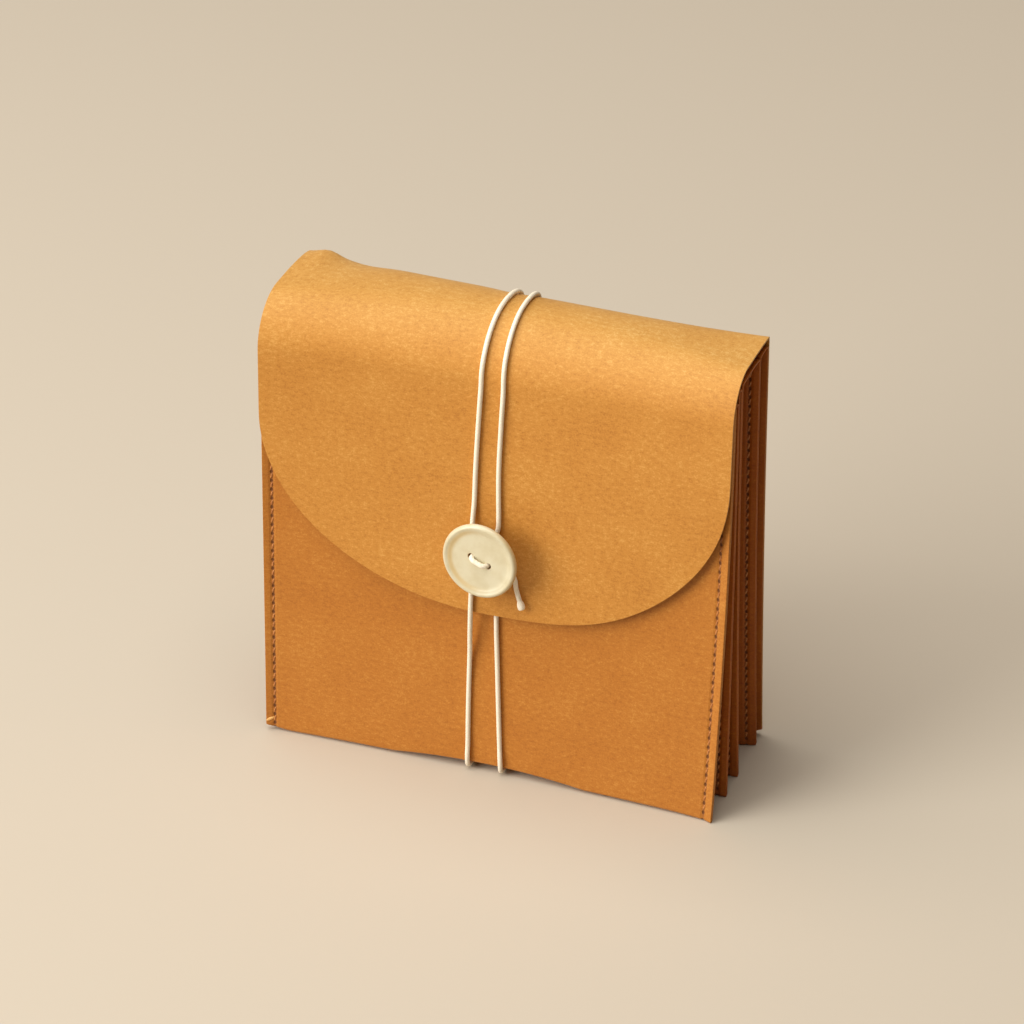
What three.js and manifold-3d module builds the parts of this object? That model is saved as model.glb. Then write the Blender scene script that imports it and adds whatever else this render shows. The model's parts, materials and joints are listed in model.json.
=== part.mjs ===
// Knitting project wallet: five side-stitched paper pockets, joined as an accordion at their
// top folds, under one cover sheet whose round flap is tied shut with a cord and a button.
// Millimetres, +Z up, the flap faces -Y. A size that varies over the width is written as
// [left, middle, right], seen from the front.

import * as THREE from 'three';
import { mergeVertices } from 'three/addons/utils/BufferGeometryUtils.js';
import Module from 'manifold-3d';

const wasm = await Module();
wasm.setup();

// Driving dimensions: the paper and the whole wallet
const WIDTH = 150;
const HEIGHT = 150.8;
const PAPER = 0.6;
const CLEAR = 0.3;

// Back cover: how far back its sheet stands, at the bottom and at the top crease
const BACK = { bottom: [48, 46.5, 47.5], top: [41.2, 41.2, 41.2] };

// Space inside each pocket, pinched shut at the side seams
const INSIDE = { bottom: [0.4, 6.6, 0.4], top: [0.4, 4.4, 0.4] };

// Air between neighbouring pockets, front pair first: they fan out towards the bottom
const BETWEEN = [
  { bottom: [13.5, 2.8, 12.8], top: [8, 1, 1.2] },
  { bottom: [10.5, 2.8, 10], top: [3, 1, 1.2] },
  { bottom: [17, 2.8, 17], top: [16.8, 1, 15.8] },
  { bottom: [4.2, 2.8, 4.2], top: [6.2, 1, 6.4] },
];
const POCKETS = BETWEEN.length + 1;

// How sharply the sheets flare towards the bottom: 1 is straight
const FLARE = [1.2, 1.25, 2];

// How far the top folds, front pair first, and the front pocket's open edge lie below the crease
const FOLD_DROP = [7.8, 4.3, 3.3, 3.3];
const FRONT_DROP = 10.3;

// The bottom edges arch over the tie cord and stand flat at both ends
const ARCH = 1.9;
const ARCH_HALF = 50;

// Cover sheet: how far below the crease's height the back starts to round over, where the top
// turns into the front shoulder, where the shoulder ends, and where the flap's face would reach
// near its tip; heights are counted up or down from the crease
const BACK_DROP = [0.3, 2.8, 0.3];
const SHOULDER_TOP_Y = [13, 26, 20];
const SHOULDER_TOP_RISE = [3.7, 3, 0.7];
const SHOULDER_END_Y = [-2.5, 6.8, 7];
const SHOULDER_END_DROP = [11.8, 15.3, 14.8];
const FLAP_LOW_Y = [-5, -0.4, 4.5];
const FLAP_LOW_DROP = 90.8;

// Round end of the flap: half an ellipse, a little fuller on its right
const FLAP_ROUND_DROP = 32.8;
const FLAP_ROUND_LONG = 59.5;
const FLAP_POWER = [2, 2.2];
const FLAP_SAG = 1.8;

// Side seams
const SEAM_INSET = 3;
const SEAM_END = 3;
const THREAD = 0.35;
const THREAD_WIDTH = 0.6;

// Button, with the place of its shank on the flap and the way it faces
const BUTTON_RADIUS = 12.5;
const BUTTON_THICK = 3.4;
const BUTTON_RIM = 2;
const BUTTON_DISH = 1.1;
const BUTTON_STANDOFF = 5.2;
const BUTTON_X = -0.6;
const BUTTON_DROP = 69.8;
const BUTTON_YAW_DEG = -4.8;
const BUTTON_PITCH_DEG = 4;
const HOLE_RADIUS = 1.05;
const HOLE_SPACING = 6.26;
const HOLE_LINE_DEG = -19.4;
const BAR_RADIUS = 0.75;
const BAR_INSET = 0.2;
const SHANK_RADIUS = 1.2;
const KNOT_RADIUS = 2.2;
const KNOT_THICK = 1.2;
const KNOT_GAP = 0.65;

// Tie cord
const CORD = 1.6;
const CORD_END = 2.3;
const CORD_END_LONG = 3;
const CORD_SIDES = 8;
const CORD_FLOOR = 0.1;
const CORD_STEPS = 2;

// Facets
const COLUMNS = 12;
const PANEL_ROWS = 8;
const SPINE_ROWS = 10;
const FLAP_COLUMNS = 24;
const FLAP_ROWS = 12;
const SEAM_ROWS = 8;
const BUTTON_SIDES = 40;
const HOLE_SIDES = 16;

const HALF = WIDTH / 2;
const LIFT = CLEAR + CORD / 2;
const FRONT_TOP = HEIGHT - FRONT_DROP;
const FOLD_TOP = FOLD_DROP.map((drop) => HEIGHT - drop);
const FLAP_LOW_Z = HEIGHT - FLAP_LOW_DROP;
const FLAP_ROUND_Z = HEIGHT - FLAP_ROUND_DROP;
const BUTTON_Z = HEIGHT - BUTTON_DROP;

const kraft = new THREE.MeshStandardMaterial({ color: '#b87a3e', roughness: 0.85, metalness: 0 });
const kraftInside = new THREE.MeshStandardMaterial({ color: '#9c6430', roughness: 0.9, metalness: 0 });
const thread = new THREE.MeshStandardMaterial({ color: '#8a5526', roughness: 0.8, metalness: 0 });
const ivory = new THREE.MeshStandardMaterial({ color: '#eadfb4', roughness: 0.35, metalness: 0 });
const cotton = new THREE.MeshStandardMaterial({ color: '#f3e8d2', roughness: 0.8, metalness: 0 });

// A value between left, middle and right values, on a parabola over the width
function across([left, middle, right], x) {
  const s = x / HALF;
  return middle + ((right - left) / 2) * s + ((right + left) / 2 - middle) * s * s;
}

// A size that eases from its bottom value to its top value up the wallet
function upward(size, x, z) {
  const flare = (1 - z / HEIGHT) ** across(FLARE, x);
  const top = across(size.top, x);
  return top + (across(size.bottom, x) - top) * flare;
}

// Middle of a pocket's front or back sheet, counted from the back cover forwards
function panelY(pocket, side, x, z) {
  let y = upward(BACK, x, z);
  for (let k = POCKETS; k >= pocket; k--) {
    if (k < POCKETS) y -= PAPER + upward(BETWEEN[k - 1], x, z);
    if (k > pocket || side === 'front') y -= PAPER + upward(INSIDE, x, z);
  }
  return y;
}

// Height of the bottom edges
function footZ(x) {
  return ARCH * Math.max(0, 1 - (x / ARCH_HALF) ** 2);
}

// Height at which the back starts to round over into the top
function backTop(x) {
  return HEIGHT - across(BACK_DROP, x);
}

// Lower edge of the flap
function flapEdgeZ(x) {
  const s = Math.min(1, Math.abs(x) / HALF);
  const power = x < 0 ? FLAP_POWER[0] : FLAP_POWER[1];
  const sag = x < 0 ? 0 : FLAP_SAG * Math.sin(Math.PI * s) ** 2;
  return FLAP_ROUND_Z - FLAP_ROUND_LONG * (1 - s ** power) ** (1 / power) - sag;
}

// End of the shoulder, where the flap's straight face begins
function shoulderEnd(x) {
  return { y: across(SHOULDER_END_Y, x), z: HEIGHT - across(SHOULDER_END_DROP, x) };
}

// Middle of the flap's face at a height
function flapY(x, z) {
  const end = shoulderEnd(x);
  const share = (end.z - z) / (end.z - FLAP_LOW_Z);
  return end.y + (across(FLAP_LOW_Y, x) - end.y) * share;
}

// Middle of the cover sheet from the top of the back, s = 0, round the crease and over the top
// to the shoulder, s = 1 to 2, and down the face to the flap's lower edge, s = 3, with its
// outward direction
function coverAt(x, s) {
  const back = { y: BACK.top[1], z: backTop(x) };
  const top = { y: across(SHOULDER_TOP_Y, x), z: HEIGHT + across(SHOULDER_TOP_RISE, x) };
  const end = shoulderEnd(x);
  let y, z, dy, dz;
  if (s <= 1) {
    const turn = (s * Math.PI) / 2;
    const deep = back.y - top.y;
    const rise = top.z - back.z;
    y = top.y + deep * Math.cos(turn);
    z = back.z + rise * Math.sin(turn);
    dy = -deep * Math.sin(turn);
    dz = rise * Math.cos(turn);
  } else if (s <= 2) {
    const turn = ((s - 1) * Math.PI) / 2;
    const deep = top.y - end.y;
    const tall = top.z - end.z;
    y = top.y - deep * Math.sin(turn);
    z = end.z + tall * Math.cos(turn);
    dy = -deep * Math.cos(turn);
    dz = -tall * Math.sin(turn);
  } else {
    z = end.z + (flapEdgeZ(x) - end.z) * (s - 2);
    y = flapY(x, z);
    dy = y - end.y;
    dz = z - end.z - 1e-6;
  }
  const long = Math.hypot(dy, dz);
  return { at: new THREE.Vector3(x, y, z), out: new THREE.Vector3(0, dz / long, -dy / long) };
}

// Turns a closed mesh the right way out
function facingOut(geometry) {
  const p = geometry.attributes.position;
  const index = geometry.index.array;
  const [a, b, c] = [0, 0, 0].map(() => new THREE.Vector3());
  let volume = 0;
  for (let i = 0; i < index.length; i += 3) {
    a.fromBufferAttribute(p, index[i]);
    b.fromBufferAttribute(p, index[i + 1]);
    c.fromBufferAttribute(p, index[i + 2]);
    volume += a.dot(b.cross(c));
  }
  if (volume < 0) index.reverse();
  geometry.computeVertexNormals();
  return geometry;
}

function closedMesh(position, index) {
  const geometry = new THREE.BufferGeometry();
  geometry.setAttribute('position', new THREE.Float32BufferAttribute(position, 3));
  geometry.setIndex(index);
  return facingOut(geometry);
}

// A sheet of even thickness: place(x, v) gives its middle and the direction of its thickness
function sheet(xs, rows, place, thickness = PAPER) {
  const position = [];
  const index = [];
  const size = xs.length * (rows + 1);
  for (const side of [0.5, -0.5]) {
    for (const x of xs) {
      for (let j = 0; j <= rows; j++) {
        const { at, out } = place(x, j / rows);
        position.push(...at.clone().addScaledVector(out, side * thickness));
      }
    }
  }
  const id = (i, j) => i * (rows + 1) + j;
  const quad = (a, b, c, d) => index.push(a, b, c, a, c, d);
  for (let i = 0; i + 1 < xs.length; i++) {
    for (let j = 0; j < rows; j++) {
      quad(id(i, j), id(i + 1, j), id(i + 1, j + 1), id(i, j + 1));
      quad(size + id(i, j + 1), size + id(i + 1, j + 1), size + id(i + 1, j), size + id(i, j));
    }
  }
  const rim = [];
  for (let i = 0; i + 1 < xs.length; i++) rim.push(id(i, 0));
  for (let j = 0; j < rows; j++) rim.push(id(xs.length - 1, j));
  for (let i = xs.length - 1; i > 0; i--) rim.push(id(i, rows));
  for (let j = rows; j > 0; j--) rim.push(id(0, j));
  rim.forEach((a, k) => {
    const b = rim[(k + 1) % rim.length];
    quad(b, a, size + a, size + b);
  });
  return closedMesh(position, index);
}

// A round cord along a smooth curve through the points, closed at both ends
function cordGeometry(points, radius) {
  const spans = (points.length - 1) * CORD_STEPS;
  const centres = new THREE.CatmullRomCurve3(points).getPoints(spans);
  const position = [];
  const index = [];
  const side = new THREE.Vector3();
  const up = new THREE.Vector3();
  let before = null;
  centres.forEach((centre, i) => {
    const along = centres[Math.min(i + 1, spans)].clone().sub(centres[Math.max(i - 1, 0)]).normalize();
    if (before === null) side.set(1, 0, 0);
    else side.applyQuaternion(new THREE.Quaternion().setFromUnitVectors(before, along));
    side.addScaledVector(along, -side.dot(along)).normalize();
    up.crossVectors(along, side);
    before = along;
    for (let k = 0; k < CORD_SIDES; k++) {
      const turn = (2 * Math.PI * k) / CORD_SIDES;
      const ring = centre.clone().addScaledVector(side, radius * Math.cos(turn));
      position.push(...ring.addScaledVector(up, radius * Math.sin(turn)));
    }
  });
  const id = (i, k) => i * CORD_SIDES + (k % CORD_SIDES);
  for (let i = 0; i < spans; i++) {
    for (let k = 0; k < CORD_SIDES; k++) {
      index.push(id(i, k), id(i, k + 1), id(i + 1, k + 1), id(i, k), id(i + 1, k + 1), id(i + 1, k));
    }
  }
  for (let k = 1; k + 1 < CORD_SIDES; k++) {
    index.push(id(0, 0), id(0, k + 1), id(0, k), id(spans, 0), id(spans, k), id(spans, k + 1));
  }
  return closedMesh(position, index);
}

// Solids for cuts
function solidOf(geometry) {
  const bare = geometry.clone();
  bare.deleteAttribute('normal');
  bare.deleteAttribute('uv');
  const merged = mergeVertices(bare, 1e-4);
  return new wasm.Manifold(new wasm.Mesh({
    numProp: 3,
    vertProperties: new Float32Array(merged.attributes.position.array),
    triVerts: new Uint32Array(merged.index.array),
  }));
}

function geometryOf(solid) {
  const mesh = solid.getMesh();
  return closedMesh(Array.from(mesh.vertProperties), Array.from(mesh.triVerts));
}

function spread(count, from, to) {
  return Array.from({ length: count + 1 }, (_, i) => from + ((to - from) * i) / count);
}

const wallet = new THREE.Group();
const cords = new THREE.Group();
const columns = spread(COLUMNS, -HALF, HALF);
const towardsFront = new THREE.Vector3(0, -1, 0);
const upwards = new THREE.Vector3(0, 0, 1);

function add(group, name, geometry, material) {
  const mesh = new THREE.Mesh(geometry, material);
  mesh.name = name;
  group.add(mesh);
  return mesh;
}

// A pocket's sheet, standing between its bottom fold and its top edge
function panel(pocket, side, topAt) {
  return sheet(columns, PANEL_ROWS, (x, v) => {
    const low = footZ(x) + PAPER + CLEAR;
    const z = low + (topAt(x) - low) * v;
    return { at: new THREE.Vector3(x, panelY(pocket, side, x, z), z), out: towardsFront };
  });
}

// The fold that closes a pocket at the bottom
function bottomFold(pocket) {
  return sheet(columns, 1, (x, v) => {
    const z = footZ(x) + PAPER / 2;
    const front = panelY(pocket, 'front', x, z) - PAPER / 2;
    const back = panelY(pocket, 'back', x, z) + PAPER / 2;
    return { at: new THREE.Vector3(x, front + (back - front) * v, z), out: upwards };
  });
}

// The fold that joins the back of a pocket to the front of the next one
function topFold(pocket) {
  const edge = FOLD_TOP[pocket - 1];
  return sheet(columns, 1, (x, v) => {
    const front = panelY(pocket, 'back', x, edge) - PAPER / 2;
    const back = panelY(pocket + 1, 'front', x, edge) + PAPER / 2;
    const z = edge + CLEAR + PAPER / 2;
    return { at: new THREE.Vector3(x, front + (back - front) * v, z), out: upwards };
  });
}

// The thread of one side seam, on the front of its pocket
function seam(pocket, side, top) {
  const middle = side * (HALF - SEAM_INSET);
  const xs = [middle - THREAD_WIDTH / 2, middle + THREAD_WIDTH / 2];
  return sheet(xs, SEAM_ROWS, (x, v) => {
    const z = SEAM_END + (top - 2 * SEAM_END) * v;
    const y = panelY(pocket, 'front', middle, z) - PAPER / 2 - CLEAR - THREAD / 2;
    return { at: new THREE.Vector3(x, y, z), out: towardsFront };
  }, THREAD);
}

// Pockets, front one first
for (let k = 1; k <= POCKETS; k++) {
  const frontTop = k === 1 ? FRONT_TOP : FOLD_TOP[k - 2];
  add(wallet, `pocket_${k}_front_panel`, panel(k, 'front', () => frontTop), k === 1 ? kraft : kraftInside);
  if (k < POCKETS) {
    add(wallet, `pocket_${k}_back_panel`, panel(k, 'back', () => FOLD_TOP[k - 1]), kraftInside);
    add(wallet, `top_fold_${k}`, topFold(k), kraftInside);
  }
  add(wallet, `pocket_${k}_bottom_fold`, bottomFold(k), kraftInside);
  add(wallet, `pocket_${k}_left_seam`, seam(k, -1, frontTop), thread);
  add(wallet, `pocket_${k}_right_seam`, seam(k, 1, frontTop), thread);
}

// Cover sheet: back panel, top and flap, parted at the two folds
add(wallet, 'back_cover_panel', panel(POCKETS, 'back', (x) => backTop(x) - CLEAR), kraft);
const SHOULDER_SPLIT = 1.5;
const shoulderTall = SHOULDER_TOP_RISE[1] + SHOULDER_END_DROP[1];
const splitGap = CLEAR / (Math.PI * shoulderTall);
add(wallet, 'cover_spine', sheet(columns, SPINE_ROWS,
  (x, v) => coverAt(x, v * (SHOULDER_SPLIT - splitGap))), kraft);

// Button frame: its origin lies on the underside, over the shank's place on the flap
const facing = new THREE.Vector3(0, -1, 0)
  .applyAxisAngle(new THREE.Vector3(1, 0, 0), -THREE.MathUtils.degToRad(BUTTON_PITCH_DEG))
  .applyAxisAngle(upwards, THREE.MathUtils.degToRad(BUTTON_YAW_DEG));
const buttonX = new THREE.Vector3(1, 0, 0).addScaledVector(facing, -facing.x).normalize();
const buttonY = new THREE.Vector3().crossVectors(facing, buttonX);
const flapFace = flapY(BUTTON_X, BUTTON_Z) - PAPER / 2;
const buttonFrame = new THREE.Matrix4().makeBasis(buttonX, buttonY, facing).setPosition(
  new THREE.Vector3(BUTTON_X, flapFace, BUTTON_Z).addScaledVector(facing, BUTTON_STANDOFF));

function inButtonFrame(geometry) {
  return geometry.applyMatrix4(buttonFrame);
}

function lathe(profile, sides) {
  const points = profile.map(([r, z]) => new THREE.Vector2(r, z));
  return new THREE.LatheGeometry(points, sides).rotateX(Math.PI / 2);
}

function rod(radius, from, to, sides) {
  return lathe([[0, from], [radius, from], [radius, to], [0, to]], sides);
}

// The button's shank of wound cord, through the flap, with its flat knot on the inside
const flapInside = -BUTTON_STANDOFF - PAPER;
const knotTop = flapInside - KNOT_GAP;
add(wallet, 'button_shank', inButtonFrame(lathe([
  [0, knotTop - KNOT_THICK],
  [KNOT_RADIUS, knotTop - KNOT_THICK],
  [KNOT_RADIUS, knotTop],
  [SHANK_RADIUS, knotTop],
  [SHANK_RADIUS, -CLEAR],
  [0, -CLEAR],
], HOLE_SIDES)), cotton);

// Flap, with the hole that the shank passes through
const flapColumns = spread(FLAP_COLUMNS, -Math.PI / 2, Math.PI / 2).map((turn) => HALF * Math.sin(turn));
const flapStart = SHOULDER_SPLIT + splitGap;
const flapSheet = sheet(flapColumns, FLAP_ROWS, (x, v) => coverAt(x, flapStart + (3 - flapStart) * v));
const shankHole = rod(SHANK_RADIUS + CLEAR, flapInside - 2 * PAPER, flapInside + 3 * PAPER, HOLE_SIDES);
add(wallet, 'cover_flap', geometryOf(solidOf(flapSheet).subtract(solidOf(inButtonFrame(shankHole)))), kraft);

// Button: a rounded rim round a dished face, with two holes
const dishZ = BUTTON_THICK - BUTTON_DISH;
const rimInside = BUTTON_RADIUS - BUTTON_RIM;
const buttonBlank = lathe([
  [0, 0],
  [BUTTON_RADIUS - 1.75 * BUTTON_RIM, 0],
  [BUTTON_RADIUS - 0.6 * BUTTON_RIM, 0.2 * BUTTON_THICK],
  [BUTTON_RADIUS - 0.1 * BUTTON_RIM, 0.45 * BUTTON_THICK],
  [BUTTON_RADIUS, 0.65 * BUTTON_THICK],
  [BUTTON_RADIUS - 0.15 * BUTTON_RIM, 0.87 * BUTTON_THICK],
  [BUTTON_RADIUS - 0.45 * BUTTON_RIM, BUTTON_THICK],
  [BUTTON_RADIUS - 0.8 * BUTTON_RIM, 0.94 * BUTTON_THICK],
  [rimInside - 0.15 * BUTTON_RIM, dishZ + 0.3 * BUTTON_DISH],
  [rimInside - 0.7 * BUTTON_RIM, dishZ],
  [0, dishZ],
], BUTTON_SIDES);
const holeLine = THREE.MathUtils.degToRad(HOLE_LINE_DEG);
let button = solidOf(buttonBlank);
for (const side of [-1, 1]) {
  const away = (side * HOLE_SPACING) / 2;
  const hole = rod(HOLE_RADIUS, -BUTTON_THICK, 2 * BUTTON_THICK, HOLE_SIDES);
  hole.translate(away * Math.cos(holeLine), away * Math.sin(holeLine), 0);
  button = button.subtract(solidOf(hole));
}
add(wallet, 'tie_button', inButtonFrame(geometryOf(button)), ivory);

// The bar of cord that holds the button, down through both holes
const barTop = dishZ + CLEAR + BAR_RADIUS;
const barEnd = HOLE_SPACING / 2 - BAR_INSET;
const barRoute = [
  [-barEnd, CLEAR],
  [-barEnd, 0.55 * dishZ],
  [-barEnd + 0.12, dishZ + 0.1],
  [-barEnd + 0.75, barTop - 0.1],
  [0, barTop + 0.12],
  [barEnd - 0.75, barTop - 0.1],
  [barEnd - 0.12, dishZ + 0.1],
  [barEnd, 0.55 * dishZ],
  [barEnd, CLEAR],
];
add(wallet, 'button_bar', inButtonFrame(cordGeometry(
  barRoute.map(([x, z]) => new THREE.Vector3(x, 0, z)), BAR_RADIUS).rotateZ(holeLine)), cotton);

// Places for the cord: on the cover, on the flap, on the front pocket, on the back and under the bottom
function onCover(x, s) {
  const { at, out } = coverAt(x, s);
  return at.addScaledVector(out, PAPER / 2 + LIFT);
}

function onFlap(x, z, lift = LIFT) {
  return new THREE.Vector3(x, flapY(x, z) - PAPER / 2 - lift, z);
}

function onFront(x, z, ahead = 0) {
  return new THREE.Vector3(x, panelY(1, 'front', x, z) - PAPER / 2 - LIFT - ahead, z);
}

function onBack(x, z) {
  return new THREE.Vector3(x, upward(BACK, x, z) + PAPER / 2 + LIFT, z);
}

function under(x, y) {
  return new THREE.Vector3(x, y, CORD_FLOOR + CORD / 2);
}

// The bend of the cord round an edge that runs across the wallet
function round(x, y, z, towardsY, towardsZ) {
  const reach = LIFT * Math.SQRT1_2;
  return new THREE.Vector3(x, y + towardsY * reach, z + towardsZ * reach);
}

const bottomEdge = footZ(0);
const frontEdge = panelY(1, 'front', 0, bottomEdge) - PAPER / 2;
const backEdge = upward(BACK, 0, bottomEdge) + PAPER / 2;
const UNDER_FRONT = 6;
const BACK_RUN_TOP = HEIGHT - 6;

// Down the front pocket, at shares of the flap edge's height, and round its bottom edge
function frontRoute(rows, footX) {
  return [
    ...rows.map(([x, share, ahead]) => onFront(x, share * flapEdgeZ(x), ahead)),
    new THREE.Vector3(footX, frontEdge - LIFT, bottomEdge + 1),
    round(footX, frontEdge, bottomEdge, -1, -1),
    under(footX, frontEdge + 0.8),
    under(footX, UNDER_FRONT),
  ];
}

// Under the bottom and up the back
function backRoute(footX, topX) {
  const at = (share) => footX + (topX - footX) * share;
  return [
    under(footX, UNDER_FRONT + CLEAR),
    under(footX, 0.4 * backEdge),
    under(footX, 0.75 * backEdge),
    under(footX, backEdge - 0.8),
    round(footX, backEdge, bottomEdge, 1, -1),
    new THREE.Vector3(footX, backEdge + LIFT, bottomEdge + 1),
    onBack(at(0.1), 0.1 * HEIGHT),
    onBack(at(0.3), 0.3 * HEIGHT),
    onBack(at(0.55), 0.53 * HEIGHT),
    onBack(at(0.8), 0.76 * HEIGHT),
    onBack(topX, BACK_RUN_TOP),
  ];
}

// Over the top crease, the spine and the shoulder
const SPINE_STOPS = [0.08, 0.2, 0.34, 0.5, 0.68, 0.86, 1.04, 1.22, 1.4, 1.58, 1.78, 2];

function spineRoute(topX, endX) {
  return [
    onBack(topX, BACK_RUN_TOP + CLEAR),
    ...SPINE_STOPS.map((s) => onCover(topX + (endX - topX) * (s / 2), s)),
  ];
}

// On the flap, round the shank and under the button: places from the shank, with the lift off the flap
function buttonRoute(rows) {
  return rows.map(([x, z, lift]) => onFlap(BUTTON_X + x, BUTTON_Z + z, lift));
}

const HIGH = LIFT + CORD + 0.5;
const routes = {
  cord_front_right: frontRoute(
    [[0.9, 1.28, 0], [1.1, 1.09, 0], [1.4, 0.92, 0], [2.2, 0.68, 0], [3.1, 0.43, 0], [4, 0.19, 0]], 4.6),
  cord_front_left: frontRoute(
    [[-6, 0.99, 3.6], [-6.3, 0.89, 2.2], [-6.7, 0.75, 0.7], [-6.9, 0.54, 0], [-6.8, 0.34, 0], [-6.6, 0.17, 0]],
    -6.5),
  cord_back_right: backRoute(4.6, 0.3),
  cord_back_left: backRoute(-6.5, -5.2),
  cord_spine_right: spineRoute(0.3, 2.1),
  cord_spine_left: spineRoute(-5.2, -5),
  cord_flap_right: [
    onFlap(2.1, shoulderEnd(2.1).z - CLEAR),
    onFlap(1.8, HEIGHT - 27),
    onFlap(1.6, HEIGHT - 43),
    ...buttonRoute([[2.3, 14, LIFT], [2.2, 8.6, LIFT], [0, 4.8, LIFT], [-3.4, 1.8, LIFT], [-5, -4, LIFT],
      [-5.3, -12, LIFT], [-5.4, -18, LIFT]]),
    onFlap(-6, flapEdgeZ(-6) + 0.1),
  ],
  cord_flap_left: [
    onFlap(-5, shoulderEnd(-5).z - CLEAR),
    onFlap(-5.4, HEIGHT - 27),
    onFlap(-5.8, HEIGHT - 43),
    ...buttonRoute([[-5.3, 16, LIFT], [-5.4, 9, 1.7], [-4.9, 4.8, 2.8], [-3.7, 1.2, HIGH], [-1.7, -3.7, 2.9],
      [2.8, -5.2, 1.7], [6.6, -5.6, LIFT], [8.3, -7.6, LIFT], [9.2, -11.4, LIFT], [10.1, -14.5, 1.2]]),
  ],
};
for (const [name, route] of Object.entries(routes)) {
  add(cords, name, cordGeometry(route, CORD / 2), cotton);
}

// The swollen end of the cord, below the button
const tail = routes.cord_flap_left.slice(-2);
const tailWay = tail[1].clone().sub(tail[0]).normalize();
const tailEnd = lathe([
  [0, CLEAR],
  [CORD / 2, CLEAR],
  [CORD_END / 2, 0.4 * CORD_END_LONG],
  [CORD_END / 2, 0.8 * CORD_END_LONG],
  [CORD / 2, CORD_END_LONG],
  [0, CORD_END_LONG],
], CORD_SIDES);
tailEnd.applyQuaternion(new THREE.Quaternion().setFromUnitVectors(upwards, tailWay));
tailEnd.translate(...tail[1].clone().addScaledVector(towardsFront, CORD_END / 2 - CORD / 2));
add(cords, 'cord_end', tailEnd, cotton);

// The two turns of the cord keep clear of each other, also where they cross under the button
function leastGap(first, second) {
  const [a, b] = [first, second].map((route) => new THREE.CatmullRomCurve3(route).getSpacedPoints(400));
  return Math.min(...a.map((p) => Math.min(...b.map((q) => p.distanceTo(q))))) - CORD;
}
console.log('least gap between the turns of cord, mm:',
  leastGap(routes.cord_flap_right, routes.cord_flap_left).toFixed(2));

// The wallet stands on its bottom folds, centred on the origin
const box = new THREE.Box3().setFromObject(wallet);
wallet.add(cords);
wallet.position.y = -(box.min.y + box.max.y) / 2;

export default wallet;
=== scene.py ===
# %% [markdown]
# A knitting project wallet
#
# The wallet is an accordion of five paper pockets, sewn along their sides. One long sheet makes
# the back, the top and a round flap, and a thin cord goes round everything twice and is held by
# a button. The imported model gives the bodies, the joints and the places of all pieces. Here each
# piece gets the form and the finish that the eye sees.

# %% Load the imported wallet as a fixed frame
import json
import math

import bmesh
import bpy
from mathutils import Matrix, Vector


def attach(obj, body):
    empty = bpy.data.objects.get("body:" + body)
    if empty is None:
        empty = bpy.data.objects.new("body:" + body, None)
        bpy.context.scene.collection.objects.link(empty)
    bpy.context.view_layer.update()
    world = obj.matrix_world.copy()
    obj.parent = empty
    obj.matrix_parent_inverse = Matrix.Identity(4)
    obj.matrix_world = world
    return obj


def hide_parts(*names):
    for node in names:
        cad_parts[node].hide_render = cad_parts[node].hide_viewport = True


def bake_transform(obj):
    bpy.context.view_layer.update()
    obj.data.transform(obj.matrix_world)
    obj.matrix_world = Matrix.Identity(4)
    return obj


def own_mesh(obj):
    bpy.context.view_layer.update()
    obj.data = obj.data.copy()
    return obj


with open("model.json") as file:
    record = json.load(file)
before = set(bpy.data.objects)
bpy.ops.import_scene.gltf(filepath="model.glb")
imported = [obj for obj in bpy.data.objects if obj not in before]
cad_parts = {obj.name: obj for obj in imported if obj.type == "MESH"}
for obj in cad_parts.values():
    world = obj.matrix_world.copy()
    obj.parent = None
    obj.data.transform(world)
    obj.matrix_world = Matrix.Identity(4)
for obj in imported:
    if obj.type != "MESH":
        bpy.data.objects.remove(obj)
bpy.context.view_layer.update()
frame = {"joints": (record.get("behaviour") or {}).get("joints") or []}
MM = 0.001
JOINTS = {joint["name"]: joint for joint in frame["joints"]}

# %% [markdown]
# The camera comes first. The view is a long lens from the front right, well above the table, so
# the verticals hardly converge.

# %% Camera
CAMERA_TURN = 20.37
CAMERA_LIFT = 32.39
CAMERA_AWAY = 1482.0
CAMERA_LENS = 170.16
CAMERA_REACH = 10.0
BACK_TOP = 41.2
PAPER = 0.6
SHIFT = JOINTS["spine_fold"]["pos_m"][1] / MM - BACK_TOP - PAPER / 2
AIM = Vector((7.09, SHIFT, 97.51)) * MM


def towards(turn, lift):
    """The direction from the aim to a place that many degrees to the right and up."""
    a = math.radians(turn)
    e = math.radians(lift)
    return Vector((math.sin(a) * math.cos(e), -math.cos(a) * math.cos(e), math.sin(e)))


camera_data = bpy.data.cameras.new("camera")
camera_data.lens = CAMERA_LENS
camera = bpy.data.objects.new("camera", camera_data)
bpy.context.scene.collection.objects.link(camera)
camera.location = AIM + towards(CAMERA_TURN, CAMERA_LIFT) * CAMERA_AWAY * MM
camera.rotation_euler = (AIM - camera.location).to_track_quat("-Z", "Y").to_euler()
camera_data.clip_end = CAMERA_REACH
bpy.context.scene.camera = camera
print("camera at", [round(c, 3) for c in camera.location])

# %% [markdown]
# The sheets are bent paper, so each one is a surface with a formula. A size that varies over the
# width is written as left, middle and right, seen from the front, in millimetres. The pockets are
# counted from the front, and their places are stacked up from the back cover forwards. Sculpting
# each sheet by hand would look as good once, but the formula keeps neighbours apart everywhere.

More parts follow.
